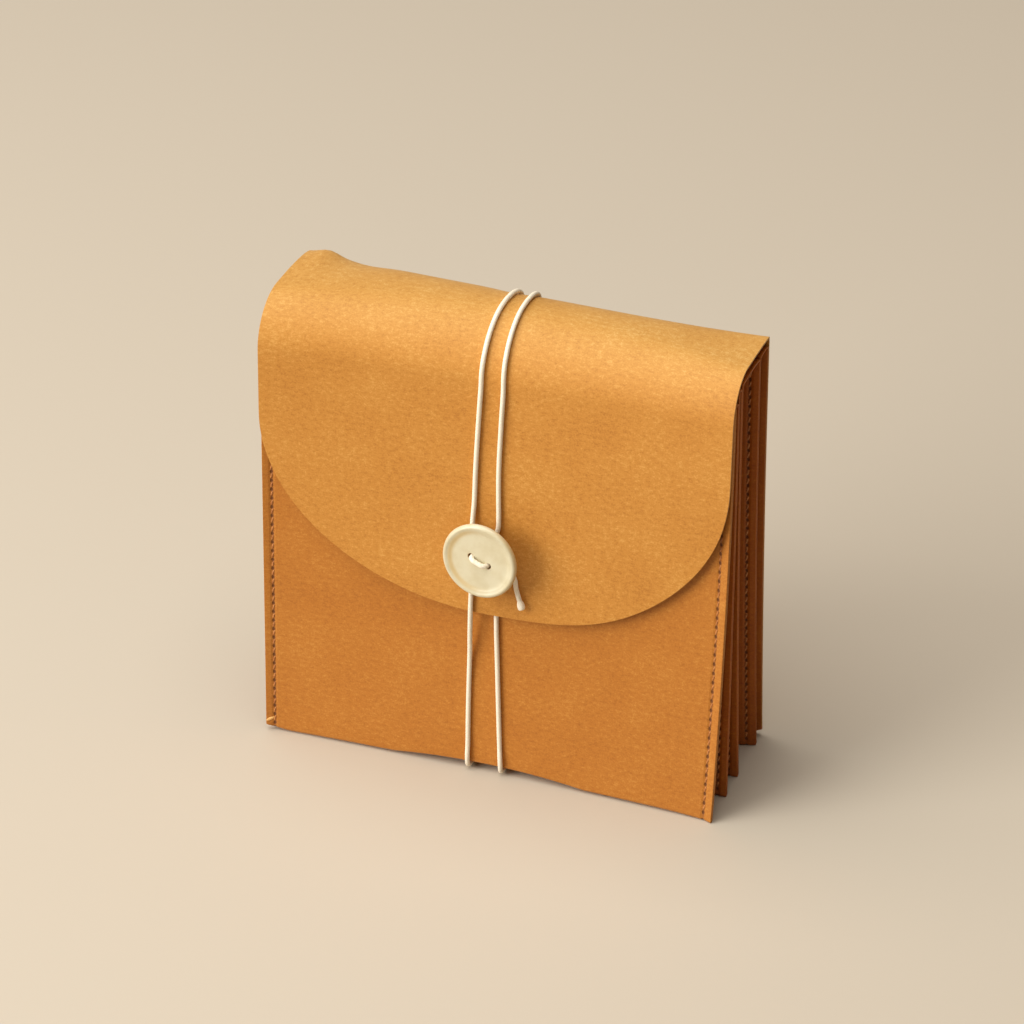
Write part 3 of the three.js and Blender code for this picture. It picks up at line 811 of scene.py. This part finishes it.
# painted glow of light through the rim, inside it on the left and outside it on the right
inner_rim_glow = ramp_mm(from_middle, *AMBER_INSIDE) * (1 - ramp_mm(from_middle, *AMBER_INSIDE_END))
outer_rim_glow = ramp_mm(from_middle, *AMBER_OUTSIDE)
on_left = 1 - ramp_mm(aside, *AMBER_LEFT)
on_right = ramp_mm(aside, *AMBER_RIGHT)
shade = tint(0.6 * inner_rim_glow * on_left + 0.5 * outer_rim_glow * on_right, shade, (*IVORY_PAINTED_GLOW, 1))
# painted shade inside both holes
for side in (-1, 1):
    along = aside - side * HOLE_SPACING / 2 * math.cos(HOLE_LINE) * MM
    over = upright - side * HOLE_SPACING / 2 * math.sin(HOLE_LINE) * MM
    away = along.maths("SQRT", along * along + over * over)
    shade = tint(0.9 * (1 - ramp_mm(away, *HOLE_SHADE_TO)), shade, (*HOLE_PAINTED_SHADE, 1))
tree.links.new(shade.socket, shader.inputs["Base Color"])
print("ivory, for a button at", [round(c, 3) for c in BUTTON_PLACE])

# %% [markdown]
# The button is turned from one piece: a rounded rim round a dished face, with two holes. A profile
# spun round the axis makes the body. The holes are cut with a spool that is wider at its ends, so
# their edges come out rounded without a bevel.

# %% Tie button
BUTTON_RADIUS = 12.5
BUTTON_THICK = 3.4
BUTTON_RIM = 2.0
BUTTON_DISH = 0.8
BUTTON_STEPS = 128
HOLE_RADIUS = 0.88
HOLE_FLARE = 0.25
HOLE_STEPS = 32
OVERSHOOT = 1


def spun(name, profile, steps, material):
    """A closed body of revolution round Z, from a profile of radius and height in millimetres."""
    bm = bmesh.new()
    verts = [bm.verts.new((r * MM, 0, z * MM)) for r, z in profile]
    edges = [bm.edges.new(pair) for pair in zip(verts, verts[1:])]
    bmesh.ops.spin(bm, geom=verts + edges, axis=(0, 0, 1), cent=(0, 0, 0), angle=math.tau,
                   steps=steps, use_merge=True)
    bmesh.ops.remove_doubles(bm, verts=bm.verts[:], dist=1e-6)
    bmesh.ops.recalc_face_normals(bm, faces=bm.faces[:])
    for face in bm.faces:
        face.smooth = True
    return piece_of(name, bm, material)


def settled(piece):
    """Applies a piece's modifiers to its mesh."""
    graph = bpy.context.evaluated_depsgraph_get()
    mesh = bpy.data.meshes.new_from_object(piece.evaluated_get(graph))
    piece.modifiers.clear()
    piece.data = mesh


dish_z = BUTTON_THICK - BUTTON_DISH
rim_inside = BUTTON_RADIUS - BUTTON_RIM
button_profile = [
    (0, 0),
    (BUTTON_RADIUS - 1.75 * BUTTON_RIM, 0),
    (BUTTON_RADIUS - 0.9 * BUTTON_RIM, 0.1 * BUTTON_THICK),
    (BUTTON_RADIUS - 0.35 * BUTTON_RIM, 0.3 * BUTTON_THICK),
    (BUTTON_RADIUS - 0.06 * BUTTON_RIM, 0.52 * BUTTON_THICK),
    (BUTTON_RADIUS, 0.66 * BUTTON_THICK),
    (BUTTON_RADIUS - 0.08 * BUTTON_RIM, 0.82 * BUTTON_THICK),
    (BUTTON_RADIUS - 0.24 * BUTTON_RIM, 0.94 * BUTTON_THICK),
    (BUTTON_RADIUS - 0.46 * BUTTON_RIM, BUTTON_THICK),
    (BUTTON_RADIUS - 0.7 * BUTTON_RIM, 0.98 * BUTTON_THICK),
    (BUTTON_RADIUS - 0.88 * BUTTON_RIM, 0.9 * BUTTON_THICK),
    (rim_inside, dish_z + 0.6 * BUTTON_DISH),
    (rim_inside - 0.22 * BUTTON_RIM, dish_z + 0.3 * BUTTON_DISH),
    (rim_inside - 0.5 * BUTTON_RIM, dish_z + 0.1 * BUTTON_DISH),
    (rim_inside - 0.9 * BUTTON_RIM, dish_z),
    (0, dish_z),
]
button = spun("ivory_button", button_profile, BUTTON_STEPS, ivory)
spool_profile = [
    (0, -OVERSHOOT),
    (HOLE_RADIUS + HOLE_FLARE + OVERSHOOT, -OVERSHOOT),
    (HOLE_RADIUS + HOLE_FLARE, 0),
    (HOLE_RADIUS + 0.1 * HOLE_FLARE, 0.7 * HOLE_FLARE),
    (HOLE_RADIUS, 1.5 * HOLE_FLARE),
    (HOLE_RADIUS, dish_z - 1.5 * HOLE_FLARE),
    (HOLE_RADIUS + 0.1 * HOLE_FLARE, dish_z - 0.7 * HOLE_FLARE),
    (HOLE_RADIUS + HOLE_FLARE, dish_z),
    (HOLE_RADIUS + HOLE_FLARE + OVERSHOOT, dish_z + OVERSHOOT),
    (0, dish_z + OVERSHOOT),
]
for side in (-1, 1):
    spool = spun("spool", spool_profile, HOLE_STEPS, ivory)
    away = side * HOLE_SPACING / 2 * MM
    spool.data.transform(Matrix.Translation((away * math.cos(HOLE_LINE), away * math.sin(HOLE_LINE), 0)))
    cut = button.modifiers.new("hole", "BOOLEAN")
    cut.operation = "DIFFERENCE"
    cut.object = spool
    settled(button)
    bpy.data.objects.remove(spool)
button.data.transform(BUTTON_FRAME)
button.modifiers.new("even light", "WEIGHTED_NORMAL")
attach(button, "button")
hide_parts("tie_button")
print("button:", len(button.data.polygons), "faces")

# %% [markdown]
# The cord is one length that goes round the wallet twice, so it lies on the cover, the flap, the
# front pocket and the back, and passes under the bottom. A cord could be dropped on by a
# simulation, but a taut one is better placed: each of these functions gives a point of its middle
# line where it lies on one of the faces.

# %% Where the cord can lie
CORD = 1.6
CLEAR = 0.3
LIFT = 0.05 + CORD / 2
CORD_FLOOR = 0.2


def on_cover(x, s):
    y, z, out_y, out_z = cover_at(x, s)
    return at(x, y + out_y * (PAPER / 2 + LIFT), z + out_z * (PAPER / 2 + LIFT))


def on_flap(x, z, lift=LIFT):
    return at(x, flap_y(x, z) - PAPER / 2 - lift, z)


def on_front(x, z, ahead=0.0):
    return at(x, panel_y(1, "front", x, z) - PAPER / 2 - LIFT - ahead, z)


def on_back(x, z):
    return at(x, upward(BACK, x, z) + PAPER / 2 + LIFT, z)


def under(x, y):
    return at(x, y, CORD_FLOOR + CORD / 2)


print("the cord's middle line lies", round(LIFT, 2), "mm off the paper")

# %% [markdown]
# Now the two turns. Each comes up the back, goes over the top and down the flap, and the right one
# crosses under the left one behind the button. Below the flap both go down the front pocket, round
# its bottom edge and under the wallet to the back, where they turn up in the same way.

# %% Route of the tie cord
BUTTON_X = -0.6
BUTTON_Z = 81.0
UNDER_FRONT = 6.0
UNDER_INSET = 3.0
UNDER_SHARES = (0.4, 0.75)
EDGE_TURN = ((LIFT, 2.4), (0.45, 0.5), (-0.65, -0.4))
BACK_ROWS = ((0.1, 15), (0.3, 45), (0.55, 80), (0.8, 115))
BACK_RUN_TOP = 144.8
HIGH = LIFT + CORD + 0.7

bottom_edge = foot_z(0, 1)
front_edge = panel_y(1, "front", 0, bottom_edge) - PAPER / 2
back_edge = upward(BACK, 0, bottom_edge) + PAPER / 2


def round_edge(x, edge, way):
    """Down round the front bottom edge, with a way of -1, or the back one, with 1."""
    turn = [at(x, edge + way * out, bottom_edge + up) for out, up in EDGE_TURN]
    return turn + [under(x, edge - way * UNDER_INSET)]


def front_route(rows, foot_x):
    """Down the front pocket and round its bottom edge."""
    down = [on_front(*row) for row in rows]
    return down + round_edge(foot_x, front_edge, -1) + [under(foot_x, UNDER_FRONT)]


def back_route(foot_x, top_x):
    """Under the bottom and up the back."""
    below = [under(foot_x, share * back_edge) for share in UNDER_SHARES]
    up = [on_back(foot_x + (top_x - foot_x) * share, z) for share, z in BACK_ROWS]
    return [
        under(foot_x, UNDER_FRONT + CLEAR),
        *below,
        *reversed(round_edge(foot_x, back_edge, 1)),
        *up,
        on_back(top_x, BACK_RUN_TOP),
    ]


COVER_STOPS = (0.1, 0.22, 0.36, 0.5, 0.65, COVER_JOIN, 0.95, 1.1, 1.25, 1.4, 1.55, 1.75, 2)


def cover_route(top_x, end_x):
    """Round the crease, over the top and over the shoulder."""
    return [on_cover(top_x + (end_x - top_x) * s / 2, s) for s in COVER_STOPS]


def flap_route(rows, by_button):
    """Down the flap and round behind the button."""
    return [on_flap(*row) for row in rows] + [
        on_flap(BUTTON_X + x, BUTTON_Z + z, lift) for x, z, lift in by_button]


right_back = back_route(4.6, 0.3)
right_top = cover_route(0.3, 2.1)
right_flap = flap_route(
    [(1.8, 124), (1.6, 108)],
    [(2.5, 17, LIFT), (2.7, 11.5, LIFT), (2.6, 8.3, LIFT), (1.7, 5.7, LIFT), (-0.5, 3.7, LIFT),
     (-3.4, 1.4, LIFT), (-5, -4, LIFT), (-5.3, -12, LIFT), (-5.4, -18, LIFT), (-5.4, -22.6, LIFT)])
left_front = front_route([(-6.3, 51, 2.3), (-6.7, 43, 0.7), (-6.9, 32), (-6.8, 20), (-6.6, 10)], -6.5)
left_back = back_route(-6.5, -5.2)
left_top = cover_route(-5.2, -5)
left_flap = flap_route(
    [(-5.4, 124), (-5.8, 108)],
    [(-5.3, 16, LIFT), (-5.4, 9, 1.6), (-4.9, 4.8, 2.7), (-3.7, 1.2, HIGH), (-1.7, -3.7, 2.8),
     (2.8, -5.2, 1.6), (6.6, -5.6, LIFT), (8.3, -7.6, LIFT), (9.3, -11.4, 1.1), (10.5, -14.6, 1.5)])
right_front = front_route([(0.9, 75), (1.1, 64), (1.4, 54), (2.2, 40), (3.1, 25), (4, 11)], 4.6)
right_run = right_back + right_top + right_flap + left_front
left_run = left_back + left_top + left_flap
print("points on the cord:", len(right_run + left_run + right_front))

# %% [markdown]
# The cord is raw cotton: off-white, quite matt, and a little uneven where fibres stand out.

# %% Cotton finish
COTTON = (0.90, 0.82, 0.66)
COTTON_DARK = (0.82, 0.71, 0.52)
COTTON_PALE = (0.93, 0.88, 0.76)
COTTON_ROUGHNESS = 0.8
FLUFF_SCALE = 2400
FLUFF_RELIEF = 0.0001

cotton, tree, shader = finish("cotton_cord", COTTON, COTTON_ROUGHNESS)
where = node(tree, "ShaderNodeTexCoord", {}, {}, 3)
fluff = noise(where, FLUFF_SCALE, 3.0, 0.6)
shade = tint(ramp(fluff, 0.25, 0.5), (*COTTON_DARK, 1), (*COTTON, 1))
shade = tint(ramp(fluff, 0.5, 0.75), shade, (*COTTON_PALE, 1))
tree.links.new(shade.socket, shader.inputs["Base Color"])
bump = node(tree, "ShaderNodeBump", {}, {"Strength": 0.3, "Distance": FLUFF_RELIEF, "Height": fluff})
tree.links.new(bump.socket, shader.inputs["Normal"])
print("cotton:", cotton.name)

# %% [markdown]
# Three plies are laid into the cord in a long twist. A curve with a round bevel would be quicker but
# smooth as a wire, so a ring with three shallow lobes is pushed along the line a small step at a
# time and turned as it goes.

# %% Laying a cord
PLIES = 3
PLY_DEPTH = 0.05
PLY_PITCH = 3.4
CORD_SIDES = 18
CORD_STEP = 0.5
CURVE_STEPS = 24


def even_line(points, step):
    """Points that step apart on a smooth curve through the given ones."""
    curve = bpy.data.curves.new("route", "CURVE")
    curve.dimensions = "3D"
    curve.resolution_u = CURVE_STEPS
    spline = curve.splines.new("BEZIER")
    spline.bezier_points.add(len(points) - 1)
    for knot, point in zip(spline.bezier_points, points):
        knot.co = point
        knot.handle_left_type = "AUTO"
        knot.handle_right_type = "AUTO"
    thread = bpy.data.objects.new("route", curve)
    bpy.context.scene.collection.objects.link(thread)
    bpy.context.view_layer.update()
    mesh = bpy.data.meshes.new_from_object(thread)
    line = [vert.co.copy() for vert in mesh.vertices]
    bpy.data.objects.remove(thread)
    bpy.data.meshes.remove(mesh)
    run = [0.0]
    for a, b in zip(line, line[1:]):
        run.append(run[-1] + (b - a).length)
    count = max(2, round(run[-1] / (step * MM)))
    even = []
    i = 0
    for n in range(count + 1):
        want = run[-1] * n / count
        while i < len(run) - 2 and run[i + 1] < want:
            i += 1
        span = max(run[i + 1] - run[i], 1e-12)
        even.append(line[i].lerp(line[i + 1], min(1, (want - run[i]) / span)))
    return even


def parted(points, *cuts):
    """The even line through the points, parted at these ones."""
    line = even_line(points, CORD_STEP)

    def nearest(cut):
        return min(range(len(line)), key=lambda i: (line[i] - cut).length)

    stops = [0, *map(nearest, cuts), len(line) - 1]
    return [line[a:b + 1] for a, b in zip(stops, stops[1:])]


def laid_cord(name, line, diameter, sides=CORD_SIDES):
    """A twisted cord along an even line of points."""
    length = sum((b - a).length for a, b in zip(line, line[1:]))
    bm = bmesh.new()
    ring = bmesh.ops.create_circle(bm, cap_ends=True, segments=sides, radius=diameter / 2 * MM)["verts"]
    for vert in ring:
        lobe = math.cos(PLIES * math.atan2(vert.co.y, vert.co.x))
        vert.co *= 1 - PLY_DEPTH / 2 + PLY_DEPTH / 2 * lobe
    ways = [(b - a).normalized() for a, b in zip(line, line[1:])]
    ways = [ways[0]] + [(a + b).normalized() for a, b in zip(ways, ways[1:])] + [ways[-1]]
    stand = Vector((0, 0, 1)).rotation_difference(ways[0]).to_matrix().to_4x4()
    bmesh.ops.transform(bm, matrix=Matrix.Translation(line[0]) @ stand, verts=ring)
    edges = list({edge for vert in ring for edge in vert.link_edges})
    twist = math.tau * length / (len(line) - 1) / (PLY_PITCH * MM)
    for here, there, old, new in zip(line, line[1:], ways, ways[1:]):
        made = bmesh.ops.extrude_edge_only(bm, edges=edges)["geom"]
        ring = [g for g in made if isinstance(g, bmesh.types.BMVert)]
        edges = [g for g in made if isinstance(g, bmesh.types.BMEdge)]
        turn = old.rotation_difference(new).to_matrix().to_4x4()
        lay = Matrix.Rotation(twist, 4, new)
        move = Matrix.Translation(there) @ lay @ turn @ Matrix.Translation(-here)
        bmesh.ops.transform(bm, matrix=move, verts=ring)
    bmesh.ops.holes_fill(bm, edges=[e for e in bm.edges if e.is_boundary], sides=0)
    bmesh.ops.recalc_face_normals(bm, faces=bm.faces[:])
    for face in bm.faces:
        face.smooth = True
        if len(face.verts) > 4:
            for edge in face.edges:
                edge.smooth = False
    return piece_of(name, bm, cotton), length


print("a cord has", PLIES, "plies")

# %% [markdown]
# Each turn is smoothed as one run and then parted where it passes from one moving piece to the
# next, so that the parts meet without a kink. The front stretches belong to the front pocket, the
# back ones run over the crease and the flap's ones over the shoulder. When the wallet opens, the
# front ones are untied.

# %% Six stretches of cord
right_join = right_top[COVER_STOPS.index(COVER_JOIN)]
left_join = left_top[COVER_STOPS.index(COVER_JOIN)]
lines = {}
lines["cord_back_right"], lines["cord_flap_right"], lines["cord_front_left"] = parted(
    right_run, right_join, right_flap[-1])
lines["cord_back_left"], lines["cord_flap_left"] = parted(left_run, left_join)
lines["cord_front_right"] = even_line(right_front, CORD_STEP)
CORD_STANDS_FOR = {
    "cord_front_right": ["cord_front_right"],
    "cord_front_left": ["cord_front_left"],
    "cord_back_right": ["cord_back_right", "cord_spine_right"],
    "cord_back_left": ["cord_back_left", "cord_spine_left"],
    "cord_flap_right": ["cord_flap_right", "cord_spine_right"],
    "cord_flap_left": ["cord_flap_left", "cord_spine_left"],
}
for name, line in lines.items():
    piece, length = laid_cord(f"tie_{name}", line, CORD)
    if "front" in name:
        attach(piece, "pocket_1")
        foot = at(0, front_edge, bottom_edge)
        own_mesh(piece)
    elif "back" in name:
        at(*CREASE_START)
        at(*CREASE_STOP)
        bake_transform(piece)
    else:
        at(*SHOULDER_START)
        at(*SHOULDER_STOP)
        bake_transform(piece)
    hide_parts(*CORD_STANDS_FOR[name])
    ending = "bare" if name == "cord_flap_left" else "object"
    print(name, "length, m:", round(length, 4))

# %% [markdown]
# The end of the cord is dipped so that it doesn't fray, which leaves it a little swollen. It is
# turned like the button, from a profile, and stood on the last bit of the line.

# %% Swollen cord end
CORD_END = 2.4
CORD_END_LONG = 3.2
END_STEPS = 24

tail = lines["cord_flap_left"][-3::2]
tail_way = (tail[1] - tail[0]).normalized()
end_profile = [
    (0, -0.3),
    (CORD / 2 - 0.1, -0.3),
    (CORD / 2, 0.1 * CORD_END_LONG),
    (CORD_END / 2 - 0.08, 0.4 * CORD_END_LONG),
    (CORD_END / 2, 0.62 * CORD_END_LONG),
    (CORD_END / 2 - 0.06, 0.86 * CORD_END_LONG),
    (CORD_END / 2 - 0.3, 0.97 * CORD_END_LONG),
    (0, CORD_END_LONG),
]
cord_end = spun("tie_cord_end", end_profile, END_STEPS, cotton)
stand = Vector((0, 0, 1)).rotation_difference(tail_way).to_matrix().to_4x4()
cord_end.data.transform(Matrix.Translation(tail[1]) @ stand)
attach(cord_end, "flap")
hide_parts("cord_end")
print("cord end:", CORD_END, "mm across")

# %% [markdown]
# A bar of the same cord comes up through one hole of the button and goes down through the other. It
# is laid in the button's own frame, turned to the line of the holes, and sags a little.

# %% Button bar
BAR = 1.6
BAR_SIDES = 14
BAR_STEP = 0.25
BAR_SAG = 0.2

bar_top = dish_z + CLEAR + BAR / 2
bar_end = HOLE_SPACING / 2 - 0.35
bar_half = [
    (bar_end - 0.75, bar_top - 0.1),
    (bar_end - 0.12, dish_z + 0.1),
    (bar_end, 0.55 * dish_z),
    (bar_end, 0.3),
]
bar_route = [(-x, z) for x, z in reversed(bar_half)] + [(0, bar_top + 0.12)] + bar_half
hole_turn = Matrix.Rotation(HOLE_LINE, 4, "Z")


def bar_point(x, z):
    """A point of the bar along the line of the holes, which hangs down a little in the middle."""
    sag = -BAR_SAG * (1 - (x / bar_end) ** 2)
    return BUTTON_FRAME @ hole_turn @ (Vector((x, sag, z)) * MM)


bar_line = even_line([bar_point(*p) for p in bar_route], BAR_STEP)
bar, _ = laid_cord("button_bar_thread", bar_line, BAR, BAR_SIDES)
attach(bar, "button")
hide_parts("button_bar")
print("bar:", len(bar_line), "steps")

# %% [markdown]
# Behind the button a thinner thread is wound into a short shank, which goes through the flap and
# ends in a flat knot inside. A helix of points is the line of the winding, and the knot is turned.

# %% Button shank and knot
BUTTON_STANDOFF = 5.2
SHANK_RADIUS = 1.2
SHANK_WRAP = 0.75
SHANK_SIDES = 10
SHANK_STEP = 0.3
WRAP_POINTS = 8
KNOT_RADIUS = 2.1
KNOT_DROP = 0.9
KNOT_STEPS = 24

shank_low = -BUTTON_STANDOFF - PAPER - KNOT_DROP
wraps = int((BUTTON_STANDOFF - CLEAR) / SHANK_WRAP)
wound = SHANK_RADIUS - SHANK_WRAP / 2
shank_route = [
    Vector((0, 0, shank_low)),
    Vector((0.2, 0, shank_low + 0.8)),
    Vector((0, 0, -BUTTON_STANDOFF - 0.2)),
]
for i in range(wraps * WRAP_POINTS):
    turn = math.tau * i / WRAP_POINTS
    rise = -BUTTON_STANDOFF + SHANK_WRAP / 2 + SHANK_WRAP * i / WRAP_POINTS
    shank_route.append(Vector((wound * math.cos(turn), wound * math.sin(turn), rise)))
shank_route = [BUTTON_FRAME @ (p * MM) for p in shank_route if p.z < -CLEAR - SHANK_WRAP / 2]
shank, _ = laid_cord("button_shank_thread", even_line(shank_route, SHANK_STEP), SHANK_WRAP, SHANK_SIDES)
knot_profile = [
    (0, shank_low - 0.5),
    (0.8 * KNOT_RADIUS, shank_low - 0.5),
    (KNOT_RADIUS, shank_low),
    (0.85 * KNOT_RADIUS, shank_low + 0.4),
    (0, shank_low + 0.45),
]
knot = spun("button_knot", knot_profile, KNOT_STEPS, cotton)
knot.data.transform(BUTTON_FRAME)
for piece in (shank, knot):
    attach(piece, "flap")
    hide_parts("button_shank")
print("shank:", wraps, "wraps")

# %% [markdown]
# The wallet stands on a plain pale surface, which is matt, so that it shows the shadow and no
# reflection. One large square does for it, because only its colour counts.

# %% Floor
FLOOR = (0.545, 0.485, 0.395)
FLOOR_ROUGHNESS = 0.9
FLOOR_SIZE = 12.0

floor_material, _, _ = finish("pale_floor", FLOOR, FLOOR_ROUGHNESS)
bm = bmesh.new()
bmesh.ops.create_grid(bm, x_segments=1, y_segments=1, size=FLOOR_SIZE / 2)
floor = piece_of("floor", bm, floor_material)
print("floor:", FLOOR_SIZE, "m wide")

# %% [markdown]
# A soft light comes from the left in front, so the cord throws its shadow to the right and the
# right side falls into shade. A second, larger one hangs overhead, which makes the rounded top the
# brightest place and shades the pocket under the flap's edge, and a faint warm sky fills the rest.

# %% Light
LIGHT_AWAY = 1.8
LIGHT_COLOUR = (1.0, 0.97, 0.92)
SKY = (1.0, 0.66, 0.4)
SKY_STRENGTH = 0.11


def soft_light(name, turn, lift, size, power):
    """A round area light aimed at the wallet."""
    data = bpy.data.lights.new(name, "AREA")
    data.shape = "DISK"
    data.size = size
    data.energy = power
    data.color = LIGHT_COLOUR
    lamp = bpy.data.objects.new(name, data)
    lamp.location = AIM + towards(turn, lift) * LIGHT_AWAY
    lamp.rotation_euler = (AIM - lamp.location).to_track_quat("-Z", "Y").to_euler()
    bpy.context.scene.collection.objects.link(lamp)


soft_light("left_light", turn=-45, lift=23, size=1.3, power=31.0)
soft_light("top_light", turn=-60, lift=76, size=2.2, power=43.0)

world = bpy.data.worlds.new("sky")
world.use_nodes = True
background = world.node_tree.nodes["Background"]
background.inputs["Color"].default_value = (*SKY, 1)
background.inputs["Strength"].default_value = SKY_STRENGTH
bpy.context.scene.world = world
bpy.context.scene.view_settings.view_transform = "Standard"
print("two soft lights and a sky")
